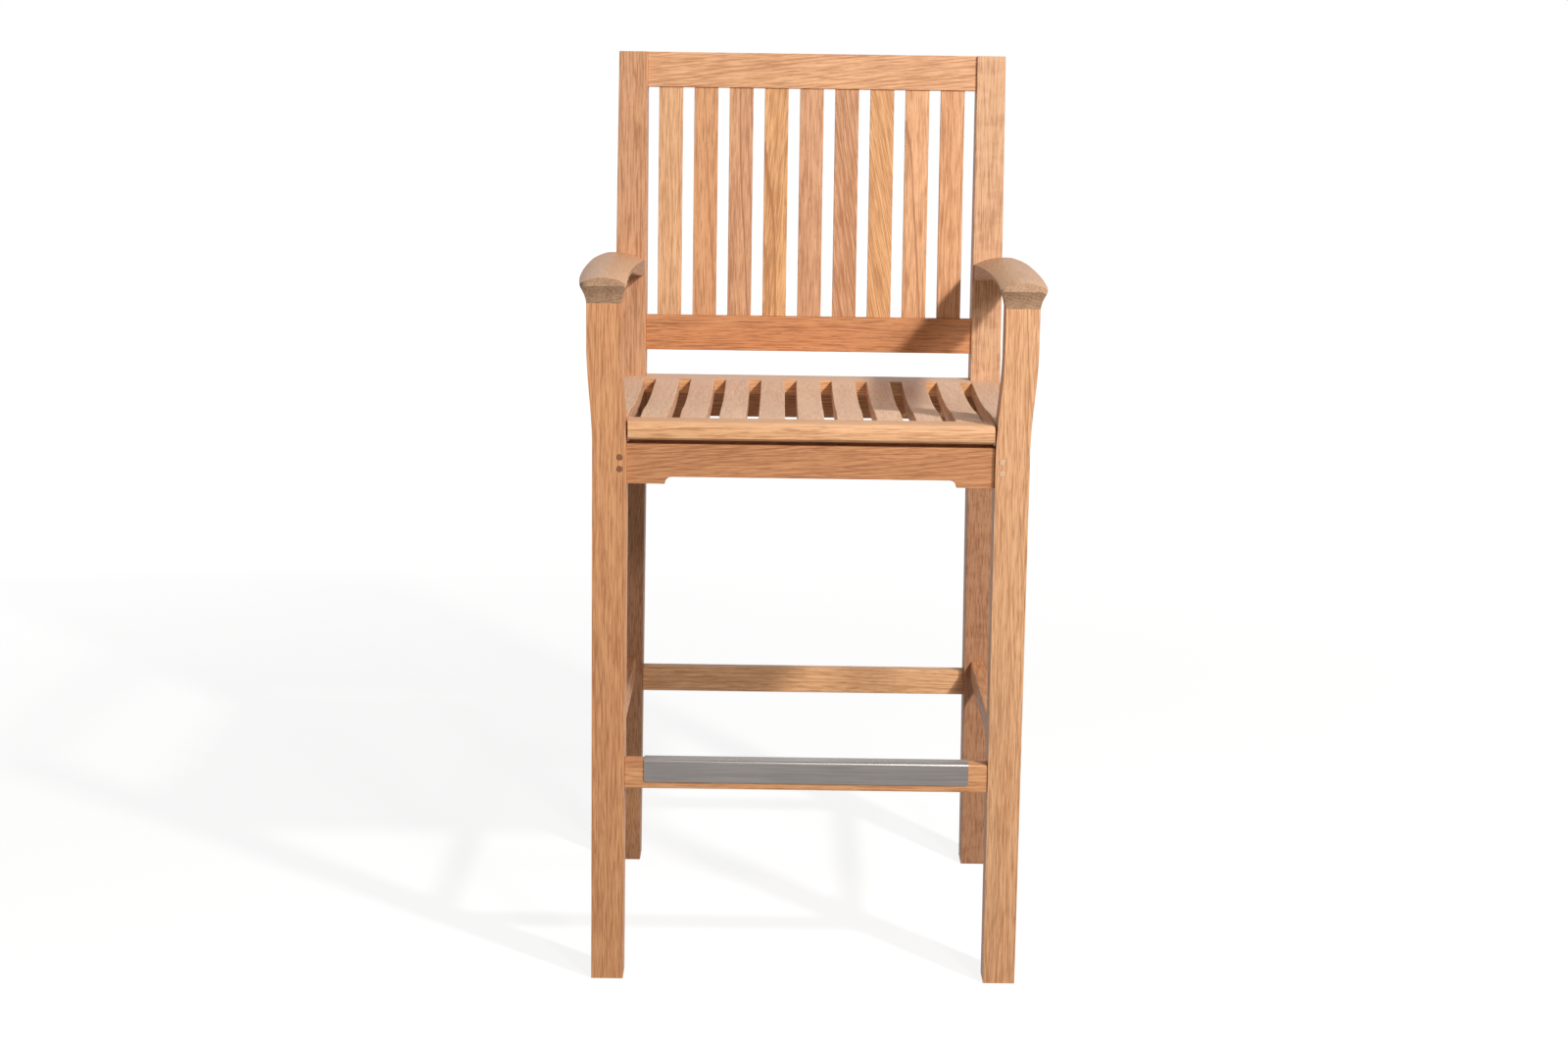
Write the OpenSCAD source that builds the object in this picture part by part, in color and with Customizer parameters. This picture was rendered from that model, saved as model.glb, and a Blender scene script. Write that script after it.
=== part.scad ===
// Slatted hardwood bar chair with arms, a steel-capped footrest and pegged joints.
// Millimetres, +Z up, the front of the chair faces -Y, the feet stand on Z = 0.

/* [Overall] */
// Width over the outer faces of the legs
overall_w = 573; // [540:1:620]
// Height of the top of the back above the floor
overall_h = 1233; // [1170:1:1290]
// Front face of the front legs to front face of the back legs
frame_d = 542; // [500:1:580]
// Height of the front edge of the seat above the floor
seat_h = 761; // [728:1:788]

/* [Legs] */
// Width of the foot of the front legs
leg_w = 42.6; // [40:0.2:48]
// Widening of the inner face of each front leg from the foot up to the apron
leg_grow = 2.4; // [0:0.2:4]
// Front to back size of the front legs
front_leg_d = 43; // [40:0.5:48]
// Distance the upper front leg moves outwards to carry the arm
leg_sweep = 8; // [4:0.5:12]
// Distance the inner face of the upper front leg moves outwards
sweep_in = 6.1; // [3:0.1:10]
// Distance below the seat edge where the front leg starts to sweep
sweep_start = 38; // [18:1:58]
// Width of the back legs seen from the front
back_leg_w = 44.6; // [42:0.2:50]
// Front to back size of the back leg at the foot
foot_d = 47; // [43:0.5:54]
// Front to back size of the back leg at the seat
hip_d = 55; // [50:0.5:62]
// Front to back size of the back leg at the top
crown_d = 42; // [36:0.5:46]
// Lean of the back above the seat in degrees
lean_angle = 3.25; // [2:0.25:8]
// Narrowing of the inner face of each back leg at the foot
foot_taper = 4.4; // [0:0.2:6]
// Height where the narrowing towards the foot starts
taper_top = 600; // [400:10:680]
// Narrowing of the outer face of each back leg towards the top
crown_taper = 2.6; // [0:0.2:5]

/* [Seat] */
// Number of seat slats, the two end ones stand between the legs
seat_slats = 11; // [9:2:13]
// Width of the seat and back slats
slat_w = 35.2; // [28:0.2:38]
// Thickness of the seat slats
seat_slat_t = 20; // [16:0.5:24]
// Depth of the hollow in the seat
seat_dish = 12; // [5:0.5:20]
// Thickness of the front seat board
front_board_t = 24; // [22:0.5:30]
// Front to back size of the front seat board
front_board_d = 52; // [46:1:62]
// Thickness of the rear seat board
rear_board_t = 21.5; // [17:0.5:23]
// Front to back size of the rear seat board
rear_board_d = 60; // [54:1:70]
// Distance the rear seat board reaches past the front faces of the back legs
rear_overhang = 37; // [36:1:50]
// Play between the ends of the front seat board and the legs
board_gap = 1.2; // [0.4:0.2:2]
// Chamfer along the lower front edge of the front seat board
board_chamfer = 3; // [1:0.5:5]
// Rounding of the nose of the front seat board
board_nose_r = 11; // [6:0.5:13]

/* [Aprons] */
// Thickness of the four aprons
apron_t = 22; // [18:0.5:24]
// Height of the front apron at its ends
front_apron_h = 52.8; // [48:0.2:60]
// Rise of the cut-out along the lower edge of the front and rear aprons
apron_rise = 9.4; // [5:0.2:12]
// Length of each full-height end of the front apron
apron_end = 50; // [40:0.2:70]
// Length of each full-height end of the rear apron
rear_apron_end = 66; // [54:1:76]
// Shadow gap between the front seat board and the front apron
shadow_gap = 6; // [3:0.2:8]
// Depth of the shadow gap as a share of the apron's thickness
rebate = 0.7; // [0.4:0.05:0.8]
// Distance the front apron is set behind the leg faces
apron_setback = 6; // [3:0.5:8]
// Distance from the seat edge down to the side aprons' lower edge and the rear cut-out
apron_drop = 69; // [60:0.5:76]
// Diameter of the pegs that lock the front apron
peg_d = 8; // [6:0.5:10]
// Distance the pegs stand proud of the leg
peg_proud = 0.4; // [0:0.1:1]
// Distance of the pegs from the inner face of the leg
peg_inset = 9.2; // [5:0.2:12]
// Distance of the upper peg below the top of the front apron
peg_drop = 17.5; // [14:0.1:22]
// Distance between the two pegs of a joint
peg_pitch = 15.5; // [12:0.5:20]

/* [Back] */
// Height of the top rail of the back
top_rail_h = 51; // [44:0.5:60]
// Height of the lower rail of the back
low_rail_h = 52; // [44:0.5:60]
// Height of the lower edge of the lower rail above the seat edge
low_rail_rise = 32; // [22:1:62]
// Thickness of the back rails
rail_t = 22; // [20:0.5:26]
// Distance the back rails are set behind the leg faces
rail_setback = 5; // [2:0.5:8]
// Thickness of the back slats
back_slat_t = 13; // [10:0.5:16]
// Distance the back slats are set behind the rail faces
slat_setback = 3; // [1:0.5:6]

/* [Arms] */
// Height of the crest of the arm at its front end above the seat edge
arm_rise = 188.3; // [165:0.1:215]
// Fall of the arm from front to back
arm_fall = 12; // [4:0.5:20]
// Thickness of the front half of the arm under its crest
arm_t = 11; // [10:0.5:20]
// Thickness of the arm at the back leg
arm_rear_t = 32; // [28:0.5:36]
// Thickness of the arm with its coved block over the front leg
arm_front_t = 34.3; // [28:0.1:40]
// Length over which the underside of the arm swells towards the back leg
arm_swell = 330; // [200:5:400]
// Distance the arm reaches past the front leg
arm_nose = 12; // [8:0.5:18]
// Distance the coved block reaches behind the front leg
cove_rear = 10; // [4:0.5:18]
// Reach of the arm outside the leg where it is widest
arm_flare = 32; // [28:0.5:38]
// Reach of the arm outside the leg at its front end
nose_flare = 15.5; // [14:0.5:22]
// Reach of the arm outside the leg at its back end
end_flare = 15; // [10:0.5:27]
// Distance from the front leg face to the widest place of the arm
belly_y = 350; // [300:5:400]
// Length of the curve at the back of the arm
tail_len = 120; // [90:5:150]
// Corner radius of the arm at its outer front corner
arm_corner_r = 10; // [8:0.5:14]
// Corner radius of the arm at its inner front corner
arm_inner_r = 6; // [3:0.5:9]
// Reach of the arm inside the leg at its front end
inner_front = 2.4; // [1:0.1:4]
// Distance of the arm's inner side outside the leg's inner face at the back leg
inner_rear = 2.1; // [0:0.1:4]
// Distance the inner side of the arm bows outwards
inner_bow = 6; // [0:0.5:10]
// Radius of the crown across the front end of the arm
crown_r = 60; // [58:1:90]
// Radius of the crown across the back end of the arm
crown_rear_r = 100; // [90:1:140]
// Distance of the crest from the inner side of the arm at its front end
crest_in = 31; // [28:0.5:34]
// Distance of the crest from the inner side of the arm at its back end
crest_rear = 46; // [34:0.5:58]
// Radius of the cove under the front of the arm
cove_r = 50; // [30:1:80]

/* [Footrest] */
// Height of the footrest and the back stretcher
stretcher_h = 37.5; // [32:0.5:44]
// Height of the underside of the footrest and the back stretcher
stretcher_z = 266; // [220:1:320]
// Front to back size of the footrest rail
footrest_d = 24; // [20:0.5:28]
// Distance the footrest rail is set behind the leg faces
footrest_setback = 2.5; // [2:0.5:6]
// Front to back size of the back stretcher
back_stretcher_d = 22; // [18:0.5:24]
// Height of the side stretchers
side_stretcher_h = 29; // [24:0.5:34]
// Thickness of the side stretchers
side_stretcher_t = 19; // [16:0.5:24]
// Height of the underside of the side stretchers
side_stretcher_z = 292; // [260:1:330]
// Thickness of the steel footrest plate
plate_t = 1.5; // [1:0.1:2]
// Distance from the ends of the footrest to the plate
plate_inset = 27; // [15:0.5:50]
// Height of the front flange of the plate
plate_front_h = 30; // [20:0.5:32]
// Corner radius of the front flange of the plate
plate_corner_r = 4; // [2:0.5:8]
// Inner bend radius of the plate
plate_bend_r = 2; // [1:0.25:4]

/* [Joints] */
// Thickness of the tenons
tenon_t = 10; // [8:0.5:12]
// Length of the tenons in the long rails
tenon_len = 24; // [18:0.5:28]
// Length of the stub tenons in the side rails and arms
stub_len = 12; // [8:0.5:13]
// Shoulder left above and below a tenon
shoulder = 5; // [3:0.5:6]
// Play around a tenon inside its mortise
glue_gap = 0.2; // [0.1:0.05:0.3]
// Space past the end of a tenon
end_gap = 1; // [0.5:0.5:1.5]
// Length of the tongues on the slat ends
tongue_len = 9; // [6:0.5:12]
// Thickness of the tongues on the slat ends
tongue_t = 7; // [5:0.5:8]
// Distance the tongues are set in from the slat edges
tongue_inset = 4; // [2:0.5:6]

/* [Hidden] */
$fn = 48;
eps = 0.01;
half_w = overall_w / 2;
inner_w = overall_w - 2 * leg_w;
leg_mid = half_w - leg_w / 2;
front_in = inner_w / 2 - leg_grow;
leg_top_in = inner_w / 2 + sweep_in;
leg_top_out = half_w + leg_sweep;
arm_h = seat_h + arm_rise;
leg_top_z = arm_h - arm_front_t;
low_rail_z = seat_h + low_rail_rise;
apron_low_z = seat_h - apron_drop;
rear_low_z = apron_low_z - apron_rise;
hole_d = peg_d + 2 * glue_gap;
back_slats = seat_slats - 2;
pitch = (inner_w + slat_w) / (seat_slats - 1);
seat_len = frame_d + rear_overhang;
rear_board_y = seat_len - rear_board_d;
hip_z = seat_h - 8;
crown_s = (overall_h - hip_z) / cos(lean_angle);
back_y = frame_d + crown_s * sin(lean_angle) + crown_d * cos(lean_angle);
mid_y = (back_y - arm_nose) / 2;
front_apron_top = seat_h - front_board_t - shadow_gap;
front_apron_z = front_apron_top - front_apron_h;
rear_apron_y = frame_d + stub_len + end_gap + 2 * glue_gap;
stretcher_y = frame_d + stub_len + end_gap + 2 * glue_gap;
arm_len = frame_d + (arm_h - arm_fall - hip_z) * tan(lean_angle);
low_rail_s = (low_rail_z - hip_z) / cos(lean_angle);
top_rail_s = crown_s - top_rail_h;
slat_low_s = low_rail_s + low_rail_h;
wood_front = "#c98f5c";
wood_seat = "#d2a07a";
steel = "#b9bcbf";

// Seat section as fractions of seat length and of the hollow
dish_line = [[0, 0], [0.09, 0.1], [0.14, 0.14], [0.19, 0.17], [0.225, 0.2],
  [0.255, 0.25], [0.285, 0.33], [0.315, 0.43], [0.345, 0.54], [0.38, 0.655],
  [0.415, 0.745], [0.455, 0.825], [0.5, 0.89], [0.55, 0.945], [0.6, 0.985],
  [0.65, 1], [0.7, 0.955], [0.76, 0.85], [0.83, 0.745], [0.9, 0.675], [0.95, 0.665],
  [1, 0.69]];

// Height of the seat surface at a distance y from the front
function seat_z(y) = seat_h - seat_dish * lookup(y / seat_len, dish_line);

// Point of the back frame at s along the lean and d behind the front face
function back_pt(s, d) = [
  frame_d + s * sin(lean_angle) + d * cos(lean_angle),
  hip_z + s * cos(lean_angle) - d * sin(lean_angle)];

// Smooth rise from 0 to 1 while t goes from 0 to 1
function ease(t) = t > 1 ? 1 : t < 0 ? 0 : (1 - cos(180 * t)) / 2;

// Crest, underside, inner side and outer side of the arm at a distance y from the front
function arm_top(y) = arm_h - arm_fall * y / arm_len;
function arm_low(y) = arm_top(y) - arm_t
  - (arm_rear_t - arm_t) * ease(1 - (arm_len - y) / arm_swell);
function arm_part(y) = min(1, (y + arm_nose) / (arm_len + arm_nose));
function arm_in(y) = inner_w / 2 - inner_front + (inner_front + inner_rear) * arm_part(y)
  + inner_bow * 4 * arm_part(y) * (1 - arm_part(y));
function arm_bow(y) = half_w + arm_flare
  - (arm_flare - nose_flare) * pow((y - belly_y) / (belly_y + arm_nose), 2);
function arm_out(y) = y < arm_len - tail_len ? arm_bow(y)
  : arm_bow(arm_len - tail_len)
    - (arm_bow(arm_len - tail_len) - half_w - end_flare)
      * pow((y - arm_len + tail_len) / tail_len, 2);

// Axis of a cove that rises over a given reach, from the top edge of the leg
function cove_rise() = arm_top(0) - arm_t - leg_top_z;
function cove_axis(reach) = let(rise = cove_rise(), run = norm([reach, rise]),
  k = sqrt(cove_r * cove_r - run * run / 4) / run)
  [reach / 2 + k * rise, rise / 2 - k * reach];

// Moves a piece from the front leg face to the middle of the chair
module placed() {
  translate([0, -mid_y, 0]) children();
}

// Extrudes an outline drawn in y and z by w, centred on x
module across(x, w) {
  translate([x - w / 2, 0, 0])
    rotate([90, 0, 90])
      linear_extrude(height = w) children();
}

// Extrudes an outline drawn in x and z by d towards the back from y
module along(y, d) {
  translate([0, y + d, 0])
    rotate([90, 0, 0])
      linear_extrude(height = d) children();
}

// Box given by two opposite corners
module box(a, b) {
  translate(a) cube(b - a);
}

// Box in the leaning frame of the back, from s and d limits
module lean_box(x0, x1, s0, s1, d0, d1) {
  translate([0, frame_d, hip_z])
    rotate([-lean_angle, 0, 0])
      translate([x0, d0, s0])
        cube([x1 - x0, d1 - d0, s1 - s0]);
}

// Tenon block between two heights that enters a leg sideways
module side_tenon(y_mid, z0, z1, play) {
  box([front_in - eps, y_mid - tenon_t / 2 - play, z0 + shoulder - play],
      [inner_w / 2 + tenon_len + (play > 0 ? end_gap : 0),
       y_mid + tenon_t / 2 + play, z1 - shoulder + play]);
}

// Stub tenons of a side rail, one into each leg
module rail_stubs(z0, z1, play) {
  grow = play > 0 ? end_gap : 0;
  box([leg_mid - tenon_t / 2 - play, front_leg_d - stub_len - grow, z0 + shoulder - play],
      [leg_mid + tenon_t / 2 + play, front_leg_d + eps, z1 - shoulder + play]);
  box([leg_mid - tenon_t / 2 - play, frame_d - eps, z0 + shoulder - play],
      [leg_mid + tenon_t / 2 + play, frame_d + stub_len + grow, z1 - shoulder + play]);
}

// Stub on top of the front leg that enters the arm
module leg_stub(play) {
  x0 = leg_mid + leg_sweep - tenon_t;
  box([x0 - play, front_leg_d / 2 - tenon_t - play, leg_top_z - eps],
      [x0 + 2 * tenon_t + play, front_leg_d / 2 + tenon_t + play,
       leg_top_z + stub_len + (play > 0 ? end_gap : 0)]);
}

// Stub at the back of the arm that enters the back leg
module arm_stub(play) {
  s0 = (arm_low(arm_len) - hip_z) / cos(lean_angle) + shoulder;
  lean_box(leg_mid - tenon_t / 2 - play, leg_mid + tenon_t / 2 + play,
           s0 - play, s0 + arm_rear_t - 2 * shoulder + play,
           -eps, stub_len + (play > 0 ? end_gap : 0));
}

// Peg holes or pegs through the front apron tenon, right hand side
module peg_pair(d, y0, y1) {
  for (dz = [peg_drop, peg_drop + peg_pitch])
    translate([front_in + peg_inset, y1, front_apron_top - dz])
      rotate([90, 0, 0])
        cylinder(h = y1 - y0, d = d);
}

// Outline of the front leg in x and z, right hand side
module front_leg_outline() {
  z0 = seat_h - sweep_start;
  rise = leg_top_z - z0;
  polygon(concat(
    [[half_w, 0]],
    [for (t = [0:0.05:1]) [half_w + leg_sweep * ease(t / 0.74), z0 + rise * t]],
    [for (t = [1:-0.05:0])
      [front_in + (leg_grow + sweep_in) * ease((t + 0.04) / 0.74), z0 + rise * t]],
    [[front_in, z0 - 0.04 * rise], [front_in, front_apron_z], [inner_w / 2, 0]]));
}

module front_leg_shape() {
  difference() {
    union() {
      along(0, front_leg_d) front_leg_outline();
      leg_stub(0);
    }
    side_tenon(apron_setback + apron_t / 2, front_apron_z, front_apron_top, glue_gap);
    side_tenon(footrest_setback + footrest_d / 2, stretcher_z,
               stretcher_z + stretcher_h, glue_gap);
    rail_stubs(apron_low_z, front_apron_top, glue_gap);
    rail_stubs(side_stretcher_z, side_stretcher_z + side_stretcher_h, glue_gap);
    peg_pair(hole_d, -1, apron_setback + apron_t);
    box([front_in - 1, front_leg_d / 2 - tenon_t - glue_gap,
         seat_h - front_board_t + shoulder - glue_gap],
        [inner_w / 2 + stub_len + end_gap, front_leg_d / 2 + tenon_t / 2 + glue_gap,
         seat_h - front_board_t + shoulder + tenon_t + glue_gap]);
  }
}

// Outline of the back leg in y and z
module back_leg_side() {
  polygon([[frame_d, 0], [frame_d, hip_z], back_pt(crown_s, 0),
           back_pt(crown_s, crown_d), back_pt(60, hip_d - 3), back_pt(0, hip_d),
           [frame_d + hip_d, hip_z - 90], [frame_d + foot_d, 0]]);
}

// Outline of the back leg in x and z, right hand side
module back_leg_front() {
  out = inner_w / 2 + back_leg_w;
  polygon([[out, 0], [out, arm_h], [out - crown_taper, overall_h],
           [inner_w / 2, overall_h], [inner_w / 2, taper_top],
           [inner_w / 2 + foot_taper, 0]]);
}

// Clear width between the back legs in x and z
module between_back_legs() {
  w = inner_w / 2;
  polygon([[-w - foot_taper, 0], [w + foot_taper, 0], [w, taper_top], [w, seat_h],
           [-w, seat_h], [-w, taper_top]]);
}

module back_leg_shape() {
  difference() {
    intersection() {
      across(half_w, 4 * leg_w) back_leg_side();
      along(frame_d - 10, 200) back_leg_front();
    }
    side_tenon(rear_apron_y + apron_t / 2, apron_low_z, front_apron_top, glue_gap);
    side_tenon(stretcher_y + back_stretcher_d / 2, stretcher_z,
               stretcher_z + stretcher_h, glue_gap);
    rail_stubs(apron_low_z, front_apron_top, glue_gap);
    rail_stubs(side_stretcher_z, side_stretcher_z + side_stretcher_h, glue_gap);
    back_rail_tenon(low_rail_s, low_rail_h, glue_gap);
    back_rail_tenon(top_rail_s, top_rail_h, glue_gap);
    arm_stub(glue_gap);
  }
}

// Tenon of a back rail in the leaning frame, right hand side
module back_rail_tenon(s0, h, play) {
  mid = rail_setback + rail_t / 2;
  lean_box(inner_w / 2 - eps, inner_w / 2 + tenon_len + (play > 0 ? end_gap : 0),
           s0 + 2 * shoulder - play, s0 + h - 2 * shoulder + play,
           mid - tenon_t / 2 - play, mid + tenon_t / 2 + play);
}

// Seat section between two distances from the front, t thick
module seat_section(y0, y1, t) {
  ys = concat([y0], [for (p = dish_line) if (p[0] * seat_len > y0 + 2
    && p[0] * seat_len < y1 - 2) p[0] * seat_len], [y1]);
  n = len(ys) - 1;
  polygon(concat([for (y = ys) [y, seat_z(y)]],
                 [for (i = [n:-1:0]) [ys[i], seat_z(ys[i]) - t]]));
}

// Nose of the front board rounded at the top
module front_board_section() {
  r = board_nose_r;
  polygon(concat([for (a = [180:-15:90]) [r + r * cos(a), seat_z(r) - r + r * sin(a)]],
    [[front_board_d, seat_z(front_board_d)],
     [front_board_d, seat_h - front_board_t],
     [board_chamfer, seat_h - front_board_t],
     [0, seat_h - front_board_t + board_chamfer]]));
}

// Tongue on a slat end or its slot
module tongue(i, y0, y1, z_at, play) {
  x = (i - (seat_slats + 1) / 2) * pitch;
  z = seat_z(z_at) - seat_slat_t / 2 - 1;
  w = slat_w / 2 - tongue_inset + play;
  box([x - w, y0, z - tongue_t / 2 - play], [x + w, y1, z + tongue_t / 2 + play]);
}

module front_leg_left() {
  color(wood_front) placed() mirror([1, 0, 0]) front_leg_shape();
}

module front_leg_right() {
  color(wood_front) placed() front_leg_shape();
}

module back_leg_left() {
  color(wood_front) placed() mirror([1, 0, 0]) back_leg_shape();
}

module back_leg_right() {
  color(wood_front) placed() back_leg_shape();
}

module front_apron() {
  z1 = front_apron_top;
  z0 = front_apron_z;
  open_x = front_in - apron_end - apron_rise;
  color(wood_front) placed() difference() {
    union() {
      box([-front_in, apron_setback, z0], [front_in, apron_setback + apron_t, z1]);
      box([-front_in + 2, apron_setback + apron_t * rebate, z1 - eps],
          [front_in - 2, apron_setback + apron_t, seat_h - front_board_t]);
      side_tenon(apron_setback + apron_t / 2, z0, z1, 0);
      mirror([1, 0, 0]) side_tenon(apron_setback + apron_t / 2, z0, z1, 0);
    }
    box([-open_x, 0, z0 - 1], [open_x, 60, z0 + apron_rise]);
    for (side = [-1, 1])
      translate([side * open_x, 60, z0])
        rotate([90, 0, 0])
          cylinder(h = 60, r = apron_rise);
    peg_pair(hole_d, -1, apron_setback + apron_t);
    mirror([1, 0, 0]) peg_pair(hole_d, -1, apron_setback + apron_t);
  }
}

module rear_apron() {
  open_x = inner_w / 2 - rear_apron_end - apron_rise;
  y1 = rear_apron_y + apron_t;
  color(wood_front) placed() {
    difference() {
      intersection() {
        box([-inner_w / 2, rear_apron_y, rear_low_z], [inner_w / 2, y1, seat_h]);
        across(0, overall_w)
          polygon(concat([[0, 0]],
            [for (p = dish_line) [p[0] * seat_len, seat_z(p[0] * seat_len) - rear_board_t]],
            [[seat_len, 0]]));
      }
      box([-open_x, rear_apron_y - 1, rear_low_z - 1], [open_x, y1 + 1, apron_low_z]);
      for (side = [-1, 1])
        translate([side * open_x, y1 + 1, rear_low_z])
          rotate([90, 0, 0])
            cylinder(h = apron_t + 2, r = apron_rise);
    }
    side_tenon(rear_apron_y + apron_t / 2, apron_low_z, front_apron_top, 0);
    mirror([1, 0, 0])
      side_tenon(rear_apron_y + apron_t / 2, apron_low_z, front_apron_top, 0);
  }
}

// Side apron cut to the underside of the end slat, right hand side
module side_apron_shape() {
  intersection() {
    box([leg_mid - apron_t / 2, front_leg_d, apron_low_z],
        [leg_mid + apron_t / 2, frame_d, seat_h]);
    across(leg_mid, 2 * apron_t)
      polygon(concat([[0, 0]],
        [for (p = dish_line) [p[0] * seat_len, seat_z(p[0] * seat_len) - seat_slat_t]],
        [[seat_len, 0]]));
  }
  rail_stubs(apron_low_z, front_apron_top, 0);
}

module side_apron_left() {
  color(wood_front) placed() mirror([1, 0, 0]) side_apron_shape();
}

module side_apron_right() {
  color(wood_front) placed() side_apron_shape();
}

// Stub tenon of the front board, right hand side
module board_stub() {
  z0 = seat_h - front_board_t + shoulder;
  box([front_in - 2 * board_gap, front_leg_d / 2 - tenon_t, z0],
      [inner_w / 2 + stub_len, front_leg_d / 2 + tenon_t / 2, z0 + tenon_t]);
}

module seat_front_board() {
  color(wood_seat) placed() difference() {
    union() {
      across(0, 2 * (front_in - board_gap)) front_board_section();
      board_stub();
      mirror([1, 0, 0]) board_stub();
    }
    for (i = [2:seat_slats - 1])
      tongue(i, front_board_d - tongue_len - end_gap, front_board_d + 1,
             front_board_d, glue_gap);
  }
}

module seat_rear_board() {
  color(wood_seat) placed() difference() {
    across(0, inner_w) seat_section(rear_board_y, seat_len, rear_board_t);
    for (i = [2:seat_slats - 1])
      tongue(i, rear_board_y - 1, rear_board_y + tongue_len + end_gap,
             rear_board_y, glue_gap);
  }
}

module seat_slat(i) {
  x = (i - (seat_slats + 1) / 2) * pitch;
  end = i == 1 || i == seat_slats;
  color(wood_seat) placed() {
    if (end) {
      across(x, slat_w) seat_section(front_leg_d, frame_d, seat_slat_t);
    } else {
      across(x, slat_w) seat_section(front_board_d, rear_board_y, seat_slat_t);
      tongue(i, front_board_d - tongue_len, front_board_d + eps, front_board_d, 0);
      tongue(i, rear_board_y - eps, rear_board_y + tongue_len, rear_board_y, 0);
    }
  }
}

module back_rail(s0, h) {
  color(wood_front) placed() {
    lean_box(-inner_w / 2, inner_w / 2, s0, s0 + h, rail_setback, rail_setback + rail_t);
    back_rail_tenon(s0, h, 0);
    mirror([1, 0, 0]) back_rail_tenon(s0, h, 0);
  }
}

// Room for the tongues of the back slats
module back_slots(s0, s1) {
  mid = rail_setback + slat_setback + back_slat_t / 2;
  for (i = [1:back_slats]) {
    x = (i - (back_slats + 1) / 2) * pitch;
    w = slat_w / 2 - tongue_inset + glue_gap;
    lean_box(x - w, x + w, s0, s1,
             mid - tongue_t / 2 - glue_gap, mid + tongue_t / 2 + glue_gap);
  }
}

module back_top_rail() {
  color(wood_front) difference() {
    back_rail(top_rail_s, top_rail_h);
    placed() back_slots(top_rail_s - 1, top_rail_s + tongue_len + end_gap);
  }
}

module back_lower_rail() {
  color(wood_front) difference() {
    back_rail(low_rail_s, low_rail_h);
    placed() back_slots(slat_low_s - tongue_len - end_gap, slat_low_s + 1);
  }
}

module back_slat(i) {
  x = (i - (back_slats + 1) / 2) * pitch;
  d0 = rail_setback + slat_setback;
  mid = d0 + back_slat_t / 2;
  color(wood_front) placed() {
    lean_box(x - slat_w / 2, x + slat_w / 2, slat_low_s, top_rail_s, d0, d0 + back_slat_t);
    lean_box(x - slat_w / 2 + tongue_inset, x + slat_w / 2 - tongue_inset,
             slat_low_s - tongue_len, top_rail_s + tongue_len,
             mid - tongue_t / 2, mid + tongue_t / 2);
  }
}

// Plan of the arm, right hand side
module arm_plan() {
  r = arm_corner_r;
  q = arm_inner_r;
  x0 = arm_in(-arm_nose);
  x1 = arm_out(r - arm_nose);
  steps = 28;
  last = arm_len + arm_rear_t;
  polygon(concat(
    [for (a = [270:-15:180]) [x0 + q + q * cos(a), q - arm_nose + q * sin(a)]],
    [for (i = [1:steps]) let(y = q - arm_nose + (arm_len - q + arm_nose) * i / steps)
      [arm_in(y), y]],
    [[arm_in(last), last], [half_w + end_flare, last]],
    [for (i = [steps:-1:1]) let(y = r - arm_nose + (arm_len - r + arm_nose) * i / steps)
      [arm_out(y), y]],
    [for (a = [0:-15:-90]) [x1 - r + r * cos(a), r - arm_nose + r * sin(a)]]));
}

// Side of the arm in y and z, without the block over the leg
module arm_side() {
  first = -arm_nose - 1;
  low = arm_low(arm_len);
  polygon(concat(
    [[first, arm_low(first)], [first, arm_top(first) + 1],
     [arm_len + tan(lean_angle), arm_top(arm_len) + 1],
     [frame_d + (low - hip_z) * tan(lean_angle), low]],
    [for (i = [1:20]) let(y = arm_len - arm_swell * i / 20) [y, arm_low(y)]]));
}

// Cuts one cove along the x direction under the front of the arm
module cove(reach, length) {
  axis = cove_axis(reach);
  translate([-length / 2, -axis[0], axis[1]])
    rotate([0, 90, 0])
      cylinder(h = length, r = cove_r, $fn = 180);
}

// Block over the front leg with a cove on each side
module arm_block() {
  size = 2 * (leg_w + arm_front_t);
  mid_x = (leg_top_in + leg_top_out) / 2;
  difference() {
    box([arm_in(-arm_nose) - 1, -arm_nose, leg_top_z],
        [leg_top_out + nose_flare, front_leg_d + cove_rear, arm_low(0) + arm_t / 10]);
    translate([mid_x, 0, leg_top_z]) cove(arm_nose, size);
    translate([mid_x, front_leg_d, leg_top_z]) rotate([0, 0, 180]) cove(cove_rear, size);
    translate([leg_top_out, front_leg_d / 2, leg_top_z])
      rotate([0, 0, 90]) cove(arm_out(0) - leg_top_out, size);
    translate([leg_top_in, front_leg_d / 2, leg_top_z])
      rotate([0, 0, -90]) cove(leg_top_in - arm_in(0), size);
  }
}

// Long tapered bar whose upper side is the crown of the arm
module crown() {
  run = arm_len + arm_nose;
  x0 = arm_in(-arm_nose) + crest_in;
  x1 = arm_in(arm_len) + crest_rear;
  grow = (crown_rear_r - crown_r) / run;
  tilt = atan(arm_fall / run) + atan(grow);
  translate([x0, -arm_nose, arm_h - crown_r * cos(tilt)])
    rotate([-90 - tilt, 0, -atan((x1 - x0) / run)])
      translate([0, 0, -60])
        cylinder(h = run + 160, r1 = crown_r - 60 * grow,
                 r2 = crown_r + (run + 100) * grow, $fn = 180);
}

// Upright prism on the plan of the arm
module arm_prism() {
  translate([0, 0, leg_top_z - arm_rear_t])
    linear_extrude(height = 3 * arm_rear_t) arm_plan();
}

module arm_shape() {
  difference() {
    union() {
      intersection() {
        arm_prism();
        across(half_w, 4 * leg_w) arm_side();
        crown();
      }
      intersection() {
        arm_prism();
        arm_block();
      }
      arm_stub(0);
    }
    leg_stub(glue_gap);
  }
}

module arm_left() {
  color(wood_seat) placed() mirror([1, 0, 0]) arm_shape();
}

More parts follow.
